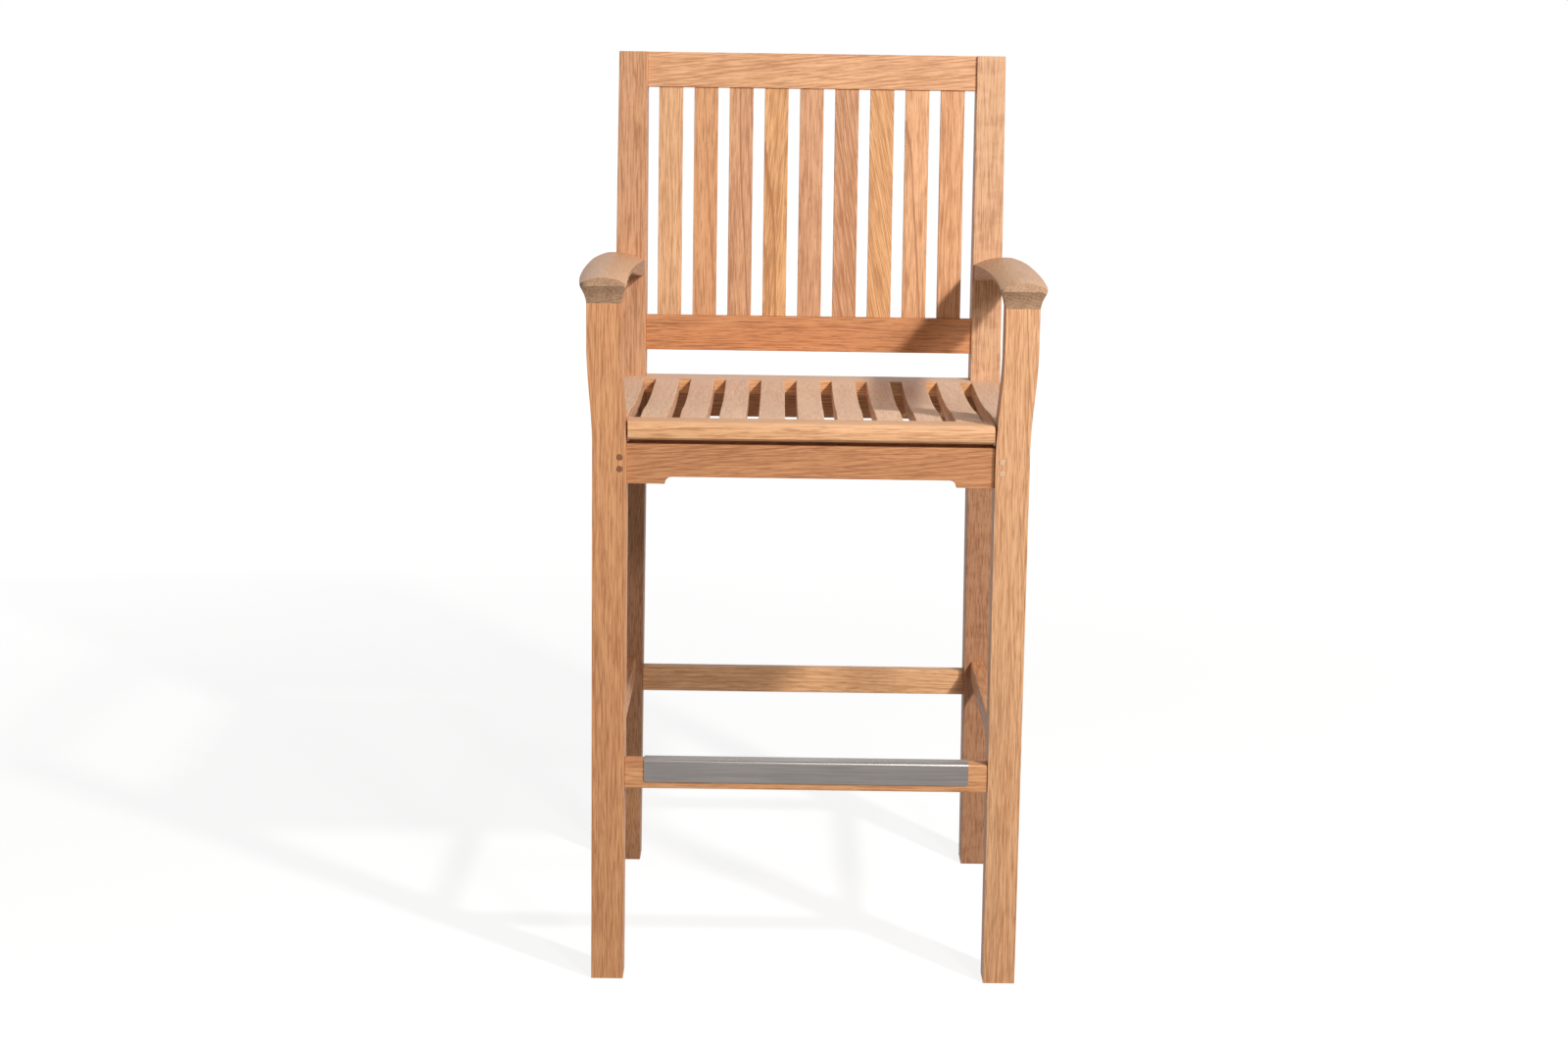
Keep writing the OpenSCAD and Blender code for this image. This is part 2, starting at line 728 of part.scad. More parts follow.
module arm_right() {
  color(wood_seat) placed() arm_shape();
}

// Clear width between the front legs in x and z
module between_front_legs() {
  w = inner_w / 2;
  polygon([[-w, 0], [w, 0], [front_in, front_apron_z], [-front_in, front_apron_z]]);
}

module footrest_rail() {
  y0 = footrest_setback;
  z1 = stretcher_z + stretcher_h;
  r = plate_bend_r + 0.5;
  color(wood_front) placed() {
    difference() {
      intersection() {
        box([-inner_w / 2, y0, stretcher_z], [inner_w / 2, y0 + footrest_d, z1]);
        along(0, front_leg_d) between_front_legs();
      }
      difference() {
        box([-inner_w, y0 - 1, z1 - r], [inner_w, y0 + r, z1 + 1]);
        translate([-inner_w, y0 + r, z1 - r])
          rotate([0, 90, 0])
            cylinder(h = 2 * inner_w, r = r);
      }
    }
    side_tenon(y0 + footrest_d / 2, stretcher_z, z1, 0);
    mirror([1, 0, 0]) side_tenon(y0 + footrest_d / 2, stretcher_z, z1, 0);
  }
}

// Bent plate section in y and z
module plate_section() {
  y0 = footrest_setback;
  z1 = stretcher_z + stretcher_h;
  r = plate_bend_r;
  translate([y0 - plate_t, z1 + plate_t - plate_front_h])
    square([plate_t, plate_front_h - plate_t - r]);
  translate([y0 + r, z1]) square([footrest_d - r, plate_t]);
  difference() {
    intersection() {
      translate([y0 + r, z1 - r]) circle(r = r + plate_t);
      translate([y0 - plate_t, z1 - r]) square([plate_t + r, plate_t + r]);
    }
    translate([y0 + r, z1 - r]) circle(r = r);
  }
}

module footrest_plate() {
  w = inner_w - 2 * plate_inset;
  z0 = stretcher_z + stretcher_h + plate_t - plate_front_h;
  cut = plate_corner_r;
  color(steel) placed() difference() {
    across(0, w) plate_section();
    for (side = [-1, 1])
      difference() {
        translate([side * (w / 2 - cut / 2 + 0.5) - cut / 2 - 0.5, -5, z0 - 1])
          cube([cut + 1, 10, cut + 1]);
        translate([side * (w / 2 - cut), 10, z0 + cut])
          rotate([90, 0, 0])
            cylinder(h = 20, r = cut);
      }
  }
}

module back_stretcher() {
  z1 = stretcher_z + stretcher_h;
  y0 = stretcher_y;
  w = inner_w / 2 + foot_taper;
  color(wood_front) placed() {
    intersection() {
      box([-w, y0, stretcher_z], [w, y0 + back_stretcher_d, z1]);
      along(0, back_y) between_back_legs();
    }
    side_tenon(y0 + back_stretcher_d / 2, stretcher_z, z1, 0);
    mirror([1, 0, 0]) side_tenon(y0 + back_stretcher_d / 2, stretcher_z, z1, 0);
  }
}

module side_stretcher_shape() {
  z1 = side_stretcher_z + side_stretcher_h;
  box([leg_mid - side_stretcher_t / 2, front_leg_d, side_stretcher_z],
      [leg_mid + side_stretcher_t / 2, frame_d, z1]);
  rail_stubs(side_stretcher_z, z1, 0);
}

module side_stretcher_left() {
  color(wood_front) placed() mirror([1, 0, 0]) side_stretcher_shape();
}

module side_stretcher_right() {
  color(wood_front) placed() side_stretcher_shape();
}

module apron_pegs() {
  color(wood_seat) placed() {
    peg_pair(peg_d, -peg_proud, apron_setback + apron_t);
    mirror([1, 0, 0]) peg_pair(peg_d, -peg_proud, apron_setback + apron_t);
  }
}

front_leg_left();
front_leg_right();
back_leg_left();
back_leg_right();
front_apron();
rear_apron();
side_apron_left();
side_apron_right();
seat_front_board();
seat_rear_board();
for (i = [1:seat_slats])
  seat_slat(i);
back_top_rail();
back_lower_rail();
for (i = [1:back_slats])
  back_slat(i);
arm_left();
arm_right();
footrest_rail();
footrest_plate();
back_stretcher();
side_stretcher_left();
side_stretcher_right();
apron_pegs();
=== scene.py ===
import math
from dataclasses import dataclass

import bpy
from mathutils import Matrix, Vector


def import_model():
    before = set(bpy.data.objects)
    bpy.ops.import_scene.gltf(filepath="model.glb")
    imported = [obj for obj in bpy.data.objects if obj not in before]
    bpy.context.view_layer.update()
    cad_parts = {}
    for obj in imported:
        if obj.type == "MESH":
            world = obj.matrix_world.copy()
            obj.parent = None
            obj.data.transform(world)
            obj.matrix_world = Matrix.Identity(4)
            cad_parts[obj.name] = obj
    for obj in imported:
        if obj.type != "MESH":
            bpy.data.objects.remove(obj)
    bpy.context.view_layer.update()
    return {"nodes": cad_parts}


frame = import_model()
nodes = frame["nodes"]

MM = 0.001
LEAN = math.radians(3.25)        # lean of the chair's back
MID_Y = 0.2996                   # front leg face to the middle of the chair

# Camera. Its place and angles come from the fit of the chair's corners to the photograph.
CAM_PLACE = (-0.04379, -3.54876 - MID_Y, 1.26513)
CAM_PITCH = 0.177100
CAM_YAW = 0.0027009
CAM_ROLL = 0.0142062
CAM_LENS = 63.0
CAM_SENSOR = 36.0
CAM_NEAR, CAM_FAR = 0.1, 60.0


def put_in_scene(name, data):
    """Links a new object to the scene."""
    obj = bpy.data.objects.new(name, data)
    bpy.context.scene.collection.objects.link(obj)
    return obj


def make_camera():
    """Camera at the photograph's viewing angle."""
    look = Vector((math.sin(CAM_YAW) * math.cos(CAM_PITCH),
                   math.cos(CAM_YAW) * math.cos(CAM_PITCH), -math.sin(CAM_PITCH)))
    side = Vector((math.cos(CAM_YAW), -math.sin(CAM_YAW), 0.0))
    up = side.cross(look)
    right = math.cos(CAM_ROLL) * side + math.sin(CAM_ROLL) * up
    top = -math.sin(CAM_ROLL) * side + math.cos(CAM_ROLL) * up
    data = bpy.data.cameras.new("camera")
    data.sensor_width = CAM_SENSOR
    data.lens = CAM_LENS
    data.clip_start, data.clip_end = CAM_NEAR, CAM_FAR
    cam = put_in_scene("camera", data)
    basis = Matrix((right, top, -look)).transposed()
    cam.matrix_world = Matrix.Translation(CAM_PLACE) @ basis.to_4x4()
    bpy.context.scene.camera = cam


# Node helpers
class Tree:
    """Short hand for building the nodes of one material or of the world."""

    def __init__(self, owner, output):
        owner.use_nodes = True
        self.owner = owner
        self.nt = owner.node_tree
        self.nt.nodes.clear()
        self.out = self.node(output)

    def node(self, kind, **props):
        made = self.nt.nodes.new(kind)
        for key, value in props.items():
            setattr(made, key, value)
        return made

    def link(self, a, b):
        self.nt.links.new(a, b)

    def put(self, socket, value):
        """Links a socket's value, or sets it where it is a number or a colour."""
        if isinstance(value, bpy.types.NodeSocket):
            self.link(value, socket)
        else:
            socket.default_value = value

    def math(self, op, a, b=0.0, c=0.0):
        made = self.node("ShaderNodeMath", operation=op)
        for socket, value in zip(made.inputs, (a, b, c)):
            self.put(socket, value)
        return made.outputs[0]

    def vmath(self, op, a, b):
        made = self.node("ShaderNodeVectorMath", operation=op)
        self.put(made.inputs[0], a)
        self.put(made.inputs[1], b)
        return made.outputs[0]

    def length(self, vector):
        made = self.node("ShaderNodeVectorMath", operation="LENGTH")
        self.link(vector, made.inputs[0])
        return made.outputs["Value"]

    def split(self, vector):
        made = self.node("ShaderNodeSeparateXYZ")
        self.link(vector, made.inputs[0])
        return made.outputs

    def mix(self, fac, a, b, blend="MIX"):
        made = self.node("ShaderNodeMix", data_type="RGBA", blend_type=blend)
        self.put(made.inputs["Factor"], fac)
        self.put(made.inputs[6], a)
        self.put(made.inputs[7], b)
        return made.outputs[2]

    def noise(self, vector, cells, detail, rough, distort=0.0):
        """Noise with a given number of cells per metre along each axis."""
        made = self.node("ShaderNodeTexNoise", noise_dimensions="3D")
        self.link(self.vmath("MULTIPLY", vector, cells), made.inputs["Vector"])
        made.inputs["Scale"].default_value = 1.0
        made.inputs["Detail"].default_value = detail
        made.inputs["Roughness"].default_value = rough
        made.inputs["Distortion"].default_value = distort
        return made.outputs["Fac"]

    def ramp(self, value, lo, hi, a=0.0, b=1.0):
        """Smooth change from a to b while the value goes from lo to hi."""
        made = self.node("ShaderNodeMapRange", interpolation_type="SMOOTHSTEP")
        self.put(made.inputs["Value"], value)
        for key, val in zip(("From Min", "From Max", "To Min", "To Max"), (lo, hi, a, b)):
            made.inputs[key].default_value = val
        return made.outputs[0]

    def bump(self, height, strength, distance, shader):
        made = self.node("ShaderNodeBump")
        made.inputs["Strength"].default_value = strength
        made.inputs["Distance"].default_value = distance
        self.link(height, made.inputs["Height"])
        self.link(made.outputs[0], shader.inputs["Normal"])

    def surface(self, shader):
        self.link(shader.outputs[0], self.out.inputs["Surface"])

    def choose(self, fac, first, second):
        """Mixes two shaders and makes the result the surface."""
        made = self.node("ShaderNodeMixShader")
        self.link(fac, made.inputs[0])
        self.link(first.outputs[0], made.inputs[1])
        self.link(second.outputs[0], made.inputs[2])
        self.surface(made)

    def seen(self):
        """1 for what the camera sees directly, mirrored or through glass, else 0."""
        path = self.node("ShaderNodeLightPath")
        either = self.math("MAXIMUM", path.outputs["Is Camera Ray"],
                           path.outputs["Is Glossy Ray"])
        return self.math("MAXIMUM", either, path.outputs["Is Transmission Ray"])


def material(name):
    return Tree(bpy.data.materials.new(name), "ShaderNodeOutputMaterial")


def grey(value):
    return (value, value, value, 1.0)


def rgb(r, g, b):
    """Colour written as it shows on screen, turned to the linear value shaders use."""
    def lin(v):
        v /= 255.0
        return v / 12.92 if v <= 0.04045 else ((v + 0.055) / 1.055) ** 2.4
    return (lin(r), lin(g), lin(b), 1.0)


# Wood. Grain runs along Z of a board's own coordinates. Each piece is its own board:
# its place in the log, the tilt of its grain and its tone differ.
@dataclass
class Board:
    """Look of one wooden piece. Colours are written as they show on screen."""
    axis: str                    # direction of the grain
    main: tuple
    second: tuple                # tone of the soft clouds
    arris: float                 # rounding of the edges in mm
    top: tuple = None            # tone of faces that look up, a painted sheen
    tilt: float = 0.0            # turn of the grain from the axis, in radians
    lines: float = 0.5           # strength of the yearly rings
    sway: float = None           # drift of the pith along the board, from the seed where None
    figure: float = 0.0          # strength of the curl across the grain
    fleck: float = 0.4           # strength of the open pores
    knot: tuple = None           # place of a knot
    low: tuple = None            # tint of the part below the seat, partly painted shade
    right: tuple = None          # tone of what lies on the picture's right: a painted highlight on the right pegs
    dark_end: float = 0.42       # darkening of the end grain


# Cells per metre of each noise, twice across the grain and once along it
WANDER = (14.0, 14.0, 1.5)
CLOUD = (19.0, 19.0, 2.6)
CURL = (24.0, 24.0, 46.0)
BAND = (75.0, 75.0, 1.5)
STREAK = (290.0, 290.0, 9.0)
DASH = (620.0, 620.0, 55.0)
THREAD = (680.0, 680.0, 24.0)
FIBRE = (1500.0, 1500.0, 26.0)

RINGS = 210.0                    # yearly rings per metre
WANDER_REACH = 0.038             # how far the rings wander from true circles
STREAK_REACH = 0.0016            # how far each streak pushes a ring
KNOT_REACH = 0.022               # how far the knot pushes the rings
KNOT_FIELD = 0.035               # distance over which it does so
KNOT_CORE, KNOT_EDGE = 0.0015, 0.0052    # radii between which the knot's dark heart fades
LOG_REACH, LOG_STEP = 0.9, 0.731         # how far the boards' places lie apart in the log
PITH_AWAY, PITH_SPREAD = 0.075, 0.04     # distance of the pith from the board, and its range
SWAY, PITH_LEAN = 0.03, 0.02             # greatest drift of the pith, either way
DEEP = (0.56, 0.45, 0.37)        # late wood and pores against the main tone
PALE = (1.12, 1.16, 1.20)        # early wood against the main tone
UNDER_SEAT_TOP, UNDER_SEAT_LOW = 0.77, 0.68        # heights between which the back legs darken below the seat, partly painted shade
PEG_SPLIT = 0.1                  # half width between the left pegs' painted shade and the right pegs' painted highlight
KNOT_PLACE = (-0.2555, 0.273, 1.121)     # small knot high on the left back leg


def board_coords(t, coord, board, seed, lean):
    """Coordinates turned to the grain and moved to the board's place in the log.

    Sines and cosines of the seed's multiples stand for random draws, here and below.
    """
    quarter = math.radians(90)
    turn = {"X": (0.0, quarter + board.tilt, 0.0), "Y": (quarter, board.tilt, 0.0),
            "Z": (lean, board.tilt, 0.0)}[board.axis]
    place = Vector((math.sin(seed * 12.9) * LOG_REACH, math.cos(seed * 7.3) * LOG_REACH,
                    seed * LOG_STEP))
    mapping = t.node("ShaderNodeMapping", vector_type="POINT")
    t.link(coord.outputs["Object"], mapping.inputs["Vector"])
    mapping.inputs["Rotation"].default_value = turn
    mapping.inputs["Location"].default_value = place
    return mapping.outputs[0], place


def late_wood(t, here, place, board, seed, streak, knot_gap):
    """Dark lines of the yearly rings, around a pith that wanders and leans."""
    pith = Vector((math.sin(seed * 3.7), math.cos(seed * 5.1), 0.0)).normalized()
    pith *= PITH_AWAY + PITH_SPREAD * math.sin(seed * 2.3)
    x, y, along = t.split(t.vmath("SUBTRACT", here, place + pith))
    sway = SWAY * math.sin(seed * 9.7) if board.sway is None else board.sway
    flat = t.node("ShaderNodeCombineXYZ")
    t.link(t.math("MULTIPLY_ADD", along, sway, x), flat.inputs["X"])
    t.link(t.math("MULTIPLY_ADD", along, PITH_LEAN * math.cos(seed * 4.1), y),
           flat.inputs["Y"])
    wander = t.noise(here, WANDER, 1.0, 0.5)
    radius = t.math("MULTIPLY_ADD", wander, WANDER_REACH, t.length(flat.outputs[0]))
    if knot_gap is not None:
        near = t.length(t.vmath("MULTIPLY", knot_gap, (1.0, 0.5, 0.5)))
        push = t.ramp(near, 0.0, KNOT_FIELD, 1.0, 0.0)
        radius = t.math("MULTIPLY_ADD", push, KNOT_REACH, radius)
    radius = t.math("MULTIPLY_ADD", streak, STREAK_REACH, radius)
    count = t.math("MULTIPLY", radius, RINGS)
    ring = t.math("FRACT", count)
    pick = t.node("ShaderNodeTexWhiteNoise", noise_dimensions="1D")
    t.link(t.math("FLOOR", count), pick.inputs["W"])
    weight = t.ramp(pick.outputs["Value"], 0.25, 1.0, 0.12, 1.0)
    line = t.math("MULTIPLY", t.ramp(ring, 0.64, 0.90), t.ramp(ring, 0.91, 1.0, 1.0, 0.0))
    late = t.math("MULTIPLY_ADD", t.ramp(ring, 0.10, 0.85), 0.25, line)
    return t.math("MULTIPLY", late, weight)


def shade(board, factors):
    """The board's main tone, made deeper or paler."""
    return tuple(min(1.0, c * k) for c, k in zip(rgb(*board.main), factors)) + (1.0,)


def grain_tone(t, grain, board, deep, pale):
    """Tone of the grain, which each pattern draws towards the deep or the pale tone."""
    patterns = [(grain["band"], 0.50, 0.66, 0.75, pale),
                (grain["band"], 0.48, 0.32, 0.35 * board.lines + 0.15, deep),
                (grain["streak"], 0.52, 0.66, 0.42, deep),
                (grain["streak"], 0.49, 0.38, 0.60, pale),
                (grain["thread"], 0.50, 0.63, 0.72, deep),
                (grain["thread"], 0.50, 0.38, 0.85, pale)]
    tone = t.mix(t.ramp(grain["cloud"], 0.34, 0.66), rgb(*board.main), rgb(*board.second))
    for value, lo, hi, strength, towards in patterns:
        tone = t.mix(t.ramp(value, lo, hi, 0.0, strength), tone, towards)
    tone = t.mix(t.math("MULTIPLY", grain["late"], board.lines), tone, deep)
    tone = t.mix(t.ramp(grain["fibre"], 0.45, 0.68, 0.0, 0.24), tone, deep)
    return t.mix(t.math("MULTIPLY", grain["pore"], board.fleck), tone, deep)


def figured_tone(t, tone, here, board, knot_gap, deep, pale):
    """Adds the curl across the grain and the knot, where the board has them."""
    if board.figure:
        curl = t.noise(here, CURL, 2.0, 0.5, 0.9)
        tone = t.mix(t.ramp(curl, 0.42, 0.62, 0.0, board.figure), tone, pale)
        tone = t.mix(t.ramp(curl, 0.50, 0.34, 0.0, board.figure * 0.5), tone, deep)
    if knot_gap is not None:
        heart = t.length(t.vmath("MULTIPLY", knot_gap, (1.0, 0.3, 0.42)))
        tone = t.mix(t.ramp(heart, KNOT_CORE, KNOT_EDGE, 0.72, 0.0), tone, deep)
    return tone


def placed_tone(t, tone, coord, board, deep):
    """Adds the tones that follow a place on the chair or the way a face looks, painted shade,
    a painted highlight and painted sheen among them.
    """
    spot = t.split(coord.outputs["Object"])
    # darker below the seat: partly painted shade under the seat, partly darker wood
    if board.low is not None:
        tone = t.mix(t.ramp(spot["Z"], UNDER_SEAT_TOP, UNDER_SEAT_LOW), tone, board.low, "MULTIPLY")
    # painted highlight on the pegs on the picture's right; the left ones keep a dark tone of
    # painted shade
    if board.right is not None:
        tone = t.mix(t.ramp(spot["X"], -PEG_SPLIT, PEG_SPLIT), tone, rgb(*board.right))
    normal = t.split(coord.outputs["Normal"])
    end = t.ramp(t.math("ABSOLUTE", normal[board.axis]), 0.80, 0.96)
    tone = t.mix(t.math("MULTIPLY", end, board.dark_end), tone, deep)
    # painted sheen: faces that look up take the board's paler top tone
    if board.top is not None:
        tone = t.mix(t.ramp(normal["Z"], 0.45, 0.85, 0.0, 0.5), tone, rgb(*board.top))
    return tone


def sanded(t, tone, grain):
    """Dull sanded surface with open pores and raised late wood."""
    pore, fibre = grain["pore"], grain["fibre"]
    shader = t.node("ShaderNodeBsdfPrincipled")
    t.link(tone, shader.inputs["Base Color"])
    rough = t.math("MULTIPLY_ADD", pore, 0.14, t.ramp(fibre, 0.3, 0.7, 0.46, 0.58))
    t.link(rough, shader.inputs["Roughness"])
    shader.inputs["Specular IOR Level"].default_value = 0.42
    height = t.math("MULTIPLY_ADD", pore, -0.9, t.math("MULTIPLY", fibre, 0.5))
    t.bump(t.math("MULTIPLY_ADD", grain["late"], 0.35, height), 0.35, 0.3 * MM, shader)
    t.surface(shader)


def wood(name, board, seed, lean):
    """Material of one board."""
    t = material(name)
    coord = t.node("ShaderNodeTexCoord")
    here, place = board_coords(t, coord, board, seed, lean)
    knot_gap = None
    if board.knot is not None:
        knot_gap = t.vmath("SUBTRACT", coord.outputs["Object"], board.knot)
    grain = {
        "band": t.noise(here, BAND, 2.0, 0.55),
        "cloud": t.noise(here, CLOUD, 2.0, 0.5),
        "streak": t.noise(here, STREAK, 3.0, 0.65),
        "thread": t.noise(here, THREAD, 2.0, 0.6),
        "fibre": t.noise(here, FIBRE, 2.0, 0.6),
        "pore": t.ramp(t.noise(here, DASH, 1.0, 0.5), 0.60, 0.74),
    }
    grain["late"] = late_wood(t, here, place, board, seed, grain["streak"], knot_gap)
    deep, pale = shade(board, DEEP), shade(board, PALE)
    tone = grain_tone(t, grain, board, deep, pale)
    tone = figured_tone(t, tone, here, board, knot_gap, deep, pale)
    tone = placed_tone(t, tone, coord, board, deep)
    sanded(t, tone, grain)
    return t.owner


def steel():
    """Stainless sheet brushed along its length."""
    t = material("brushed_steel")
    coord = t.node("ShaderNodeTexCoord")
    brush = t.noise(coord.outputs["Object"], (9.0, 2600.0, 2600.0), 3.0, 0.65)
    cloud = t.noise(coord.outputs["Object"], (7.0, 7.0, 7.0), 3.0, 0.5)
    tone = t.mix(t.ramp(brush, 0.3, 0.7), rgb(122, 117, 114), rgb(158, 152, 149))
    tone = t.mix(t.ramp(cloud, 0.35, 0.7, 0.0, 0.35), tone, rgb(118, 111, 107))
    # painted reflection: faces of the plate that look up turn paler
    up = t.split(coord.outputs["Normal"])["Z"]
    tone = t.mix(t.ramp(up, 0.3, 0.9, 0.0, 0.6), tone, rgb(188, 184, 180))
    shader = t.node("ShaderNodeBsdfPrincipled")
    t.link(tone, shader.inputs["Base Color"])
    shader.inputs["Metallic"].default_value = 1.0
    t.link(t.ramp(brush, 0.25, 0.75, 0.34, 0.48), shader.inputs["Roughness"])
    shader.inputs["Anisotropic"].default_value = 0.5
    t.bump(brush, 0.25, 0.1 * MM, shader)
    t.surface(shader)
    return t.owner


# Tones of the wood
HONEY = (229, 174, 128)
ROSE = (214, 160, 120)
STRAW = (227, 171, 117)
AMBER = (214, 154, 106)
CLAY = (204, 145, 100)
RUST = (205, 137, 88)
ASH = (188, 151, 120)
DUSK = (172, 137, 107)
SAND = (230, 188, 152)
# painted sheen: pale tone of the seat's faces that look up
SHEEN_PALE = (242, 211, 186)

# Tints that darken the back legs below the seat: partly painted shade under the seat, partly
# darker wood
LOW_LEFT = (0.66, 0.61, 0.55, 1.0)
LOW_RIGHT = (0.66, 0.58, 0.54, 1.0)

# One board for every wooden piece
LOOK = {
    "front_leg_left": Board("Z", AMBER, CLAY, 0.9, sway=0.02),
    "front_leg_right": Board("Z", (218, 166, 122), AMBER, 0.9, lines=0.55, sway=0.05),
    "back_leg_left": Board("Z", (210, 157, 117), AMBER, 1.0, lines=0.35, low=LOW_LEFT,
                           knot=KNOT_PLACE),
    "back_leg_right": Board("Z", (216, 167, 126), ROSE, 1.0, lines=0.35, low=LOW_RIGHT,
                            figure=0.3, sway=0.06),
    "front_apron": Board("X", (196, 137, 93), (186, 127, 83), 0.8, lines=0.6, fleck=0.5,
                         tilt=0.05, sway=0.08),
    "rear_apron": Board("X", CLAY, RUST, 1.0),
    "side_apron_left": Board("Y", CLAY, AMBER, 1.0),
    "side_apron_right": Board("Y", CLAY, AMBER, 1.0),
    "seat_front_board": Board("X", (222, 169, 124), STRAW, 0.8, top=(228, 186, 148),
                              tilt=0.02),
    "seat_rear_board": Board("X", STRAW, HONEY, 1.2, top=SHEEN_PALE),
    "back_top_rail": Board("X", HONEY, ROSE, 0.8, lines=0.7, tilt=0.07, sway=0.05),
    "back_lower_rail": Board("X", RUST, AMBER, 0.8, lines=0.25, fleck=0.45),
    # The arm tops' tones are painted sheen: paler on the left arm, darker on the right one,
    # which the key lamp lights more.
    "arm_left": Board("Y", ASH, DUSK, 1.0, top=(244, 190, 146), lines=0.6, fleck=0.5,
                      tilt=0.06, dark_end=0.05),
    "arm_right": Board("Y", ASH, DUSK, 1.0, top=(216, 168, 126), lines=0.6, fleck=0.5,
                       tilt=-0.08, dark_end=0.05),
    "footrest_rail": Board("X", AMBER, STRAW, 1.0),
    "back_stretcher": Board("X", (238, 184, 134), HONEY, 1.2, lines=0.7),
    "side_stretcher_left": Board("Y", AMBER, CLAY, 1.2),
    "side_stretcher_right": Board("Y", AMBER, CLAY, 1.2),
    # The pegs' dark tone is painted shade on the left ones, and their pale right tone a
    # painted highlight on the right ones.
    "apron_pegs": Board("Y", (150, 98, 68), (142, 92, 62), 0.5, fleck=0.6,
                        right=(252, 214, 172)),
    "back_slat_1": Board("Z", (229, 179, 134), HONEY, 0.7),
    "back_slat_2": Board("Z", AMBER, HONEY, 0.7),
    "back_slat_3": Board("Z", ROSE, HONEY, 0.7, lines=1.3),
    "back_slat_4": Board("Z", STRAW, STRAW, 0.7, lines=1.2, tilt=-0.07, sway=0.12),
    "back_slat_5": Board("Z", ROSE, CLAY, 0.7, lines=0.25, fleck=0.6),
    "back_slat_6": Board("Z", ROSE, CLAY, 0.7, lines=0.8, tilt=0.13, fleck=0.7),
    "back_slat_7": Board("Z", STRAW, AMBER, 0.7, lines=0.8, tilt=0.22),
    "back_slat_8": Board("Z", HONEY, AMBER, 0.7, lines=1.2),
    "back_slat_9": Board("Z", (222, 166, 120), AMBER, 0.7, lines=0.7),
}
SEAT_TONES = [(234, 194, 160), SAND, (226, 182, 148), SAND, (219, 174, 139), SAND,
              (226, 182, 148), (235, 191, 153), (222, 178, 143), SAND, (212, 171, 140)]
for number, seat_tone in enumerate(SEAT_TONES, 1):
    LOOK[f"seat_slat_{number}"] = Board("Y", seat_tone, ROSE, 1.0, top=SHEEN_PALE, lines=0.4)

LEANING = ("back_slat", "back_leg")
FIRST_SEED, SEED_STEP = 1.0, 0.618
PLATE_ARRIS = 0.3 * MM


def soften(obj, width, segments):
    """Rounds the arrises of a CAD node without touching its mesh."""
    weld = obj.modifiers.new("weld", "WELD")
    weld.merge_threshold = 0.01 * MM
    flat = obj.modifiers.new("flat", "DECIMATE")
    flat.decimate_type = "DISSOLVE"
    flat.angle_limit = math.radians(0.6)
    bevel = obj.modifiers.new("arris", "BEVEL")
    bevel.width = width
    bevel.segments = segments
    bevel.limit_method = "ANGLE"
    bevel.angle_limit = math.radians(35)
    bevel.miter_outer = "MITER_ARC"
    bevel.harden_normals = False


def dress(obj, mat, arris, segments=3):
    """Gives a node its material and soft arrises."""
    obj.data.materials.clear()
    obj.data.materials.append(mat)
    soften(obj, arris, segments)


def dress_all():
    for k, node in enumerate(sorted(LOOK)):
        lean = LEAN if node.startswith(LEANING) else 0.0
        mat = wood("wood_" + node, LOOK[node], FIRST_SEED + SEED_STEP * k, lean)
        dress(nodes[node], mat, LOOK[node].arris * MM)
    dress(nodes["footrest_plate"], steel(), PLATE_ARRIS, segments=2)


# Floor and light
FLOOR_HALF = 30.0
FLOOR_Z = -0.2 * MM              # just under the feet, so that no two faces coincide
FLOOR_BOUNCE = 0.38              # what the floor throws back on the chair
FLOOR_SHADOW = 0.24              # lit share of the seen floor, on which the shadow shows
GLOW_NEAR, GLOW_FAR = 0.86, 0.98     # glow of the seen floor by the chair and far away
GLOW_FROM, GLOW_TO = 0.9, 4.5    # distances from the chair over which the glow grows
AMBIENT = 0.22                   # strength of the light from all sides
AMBIENT_TINT = (1.0, 0.99, 0.97, 1.0)
AIM = Vector((0.0, 0.0, 0.8))    # what the lamps look at


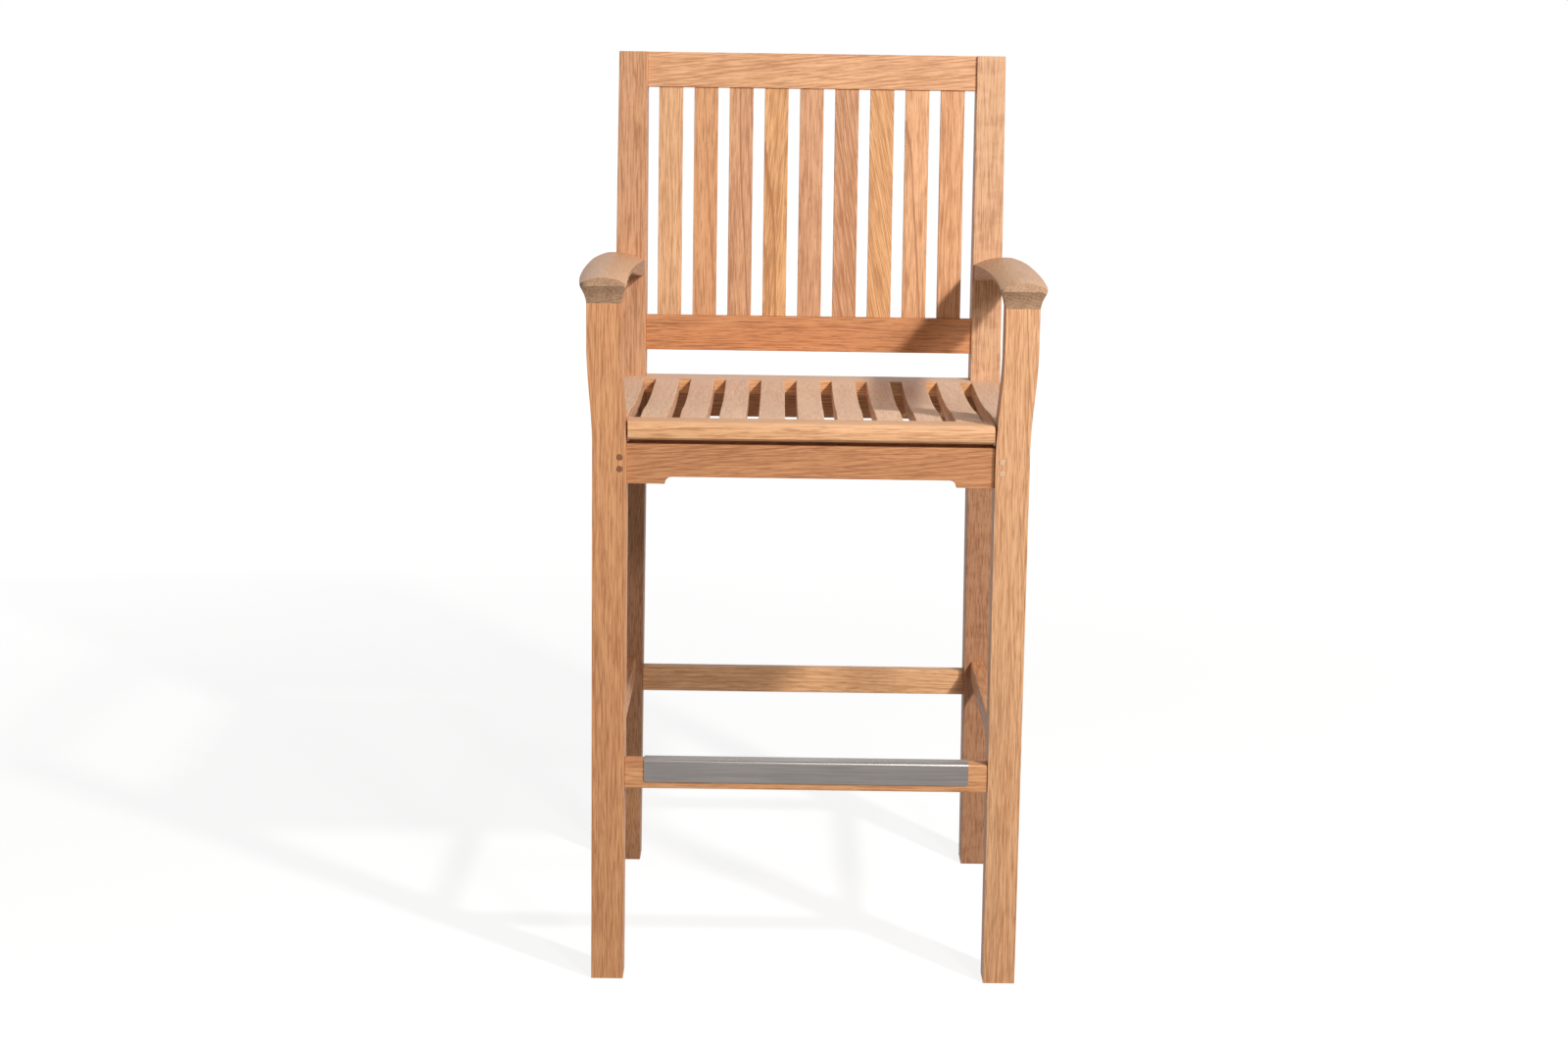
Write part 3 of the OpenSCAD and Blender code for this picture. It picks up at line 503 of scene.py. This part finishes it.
def floor():
    """Plain white floor that keeps the chair's shadow."""
    mesh = bpy.data.meshes.new("floor")
    corners = [(-1, -1), (1, -1), (1, 1), (-1, 1)]
    mesh.from_pydata([(x * FLOOR_HALF, y * FLOOR_HALF, FLOOR_Z) for x, y in corners],
                     [], [(0, 1, 2, 3)])
    obj = put_in_scene("floor", mesh)
    t = material("floor_white")
    bounce = t.node("ShaderNodeBsdfDiffuse")
    bounce.inputs["Color"].default_value = grey(FLOOR_BOUNCE)
    diffuse = t.node("ShaderNodeBsdfDiffuse")
    diffuse.inputs["Color"].default_value = grey(FLOOR_SHADOW)
    glow = t.node("ShaderNodeEmission")
    glow.inputs["Color"].default_value = grey(1.0)
    place = t.node("ShaderNodeTexCoord")
    away = t.length(place.outputs["Object"])
    t.link(t.ramp(away, GLOW_FROM, GLOW_TO, GLOW_NEAR, GLOW_FAR), glow.inputs["Strength"])
    both = t.node("ShaderNodeAddShader")
    t.link(diffuse.outputs[0], both.inputs[0])
    t.link(glow.outputs[0], both.inputs[1])
    t.choose(t.seen(), bounce, both)
    mesh.materials.append(t.owner)


def world():
    """Soft light from all sides, and plain white where the world itself shows."""
    made = bpy.data.worlds.new("world")
    bpy.context.scene.world = made
    t = Tree(made, "ShaderNodeOutputWorld")
    soft = t.node("ShaderNodeBackground")
    soft.inputs["Color"].default_value = AMBIENT_TINT
    soft.inputs["Strength"].default_value = AMBIENT
    white = t.node("ShaderNodeBackground")
    white.inputs["Color"].default_value = grey(1.0)
    white.inputs["Strength"].default_value = 1.0
    t.choose(t.seen(), soft, white)


def lamp(name, azimuth, elevation, reach, power, size, colour):
    """A round soft box; azimuth is counted from the chair's front to the picture's right."""
    data = bpy.data.lights.new(name, "AREA")
    data.shape = "DISK"
    data.size = size
    data.energy = power
    data.color = colour
    obj = put_in_scene(name, data)
    az, el = math.radians(azimuth), math.radians(elevation)
    back = Vector((math.sin(az) * math.cos(el), -math.cos(az) * math.cos(el), math.sin(el)))
    obj.location = AIM + back * reach
    obj.rotation_euler = (-back).to_track_quat("-Z", "Y").to_euler()


make_camera()
dress_all()
floor()
world()
lamp("key", azimuth=38.0, elevation=33.5, reach=3.4, power=94.0, size=0.22,
     colour=(1.0, 0.98, 0.95))
lamp("low", azimuth=20.0, elevation=18.0, reach=3.5, power=34.0, size=0.45,
     colour=(1.0, 0.98, 0.96))

bpy.context.scene.view_settings.view_transform = "Standard"
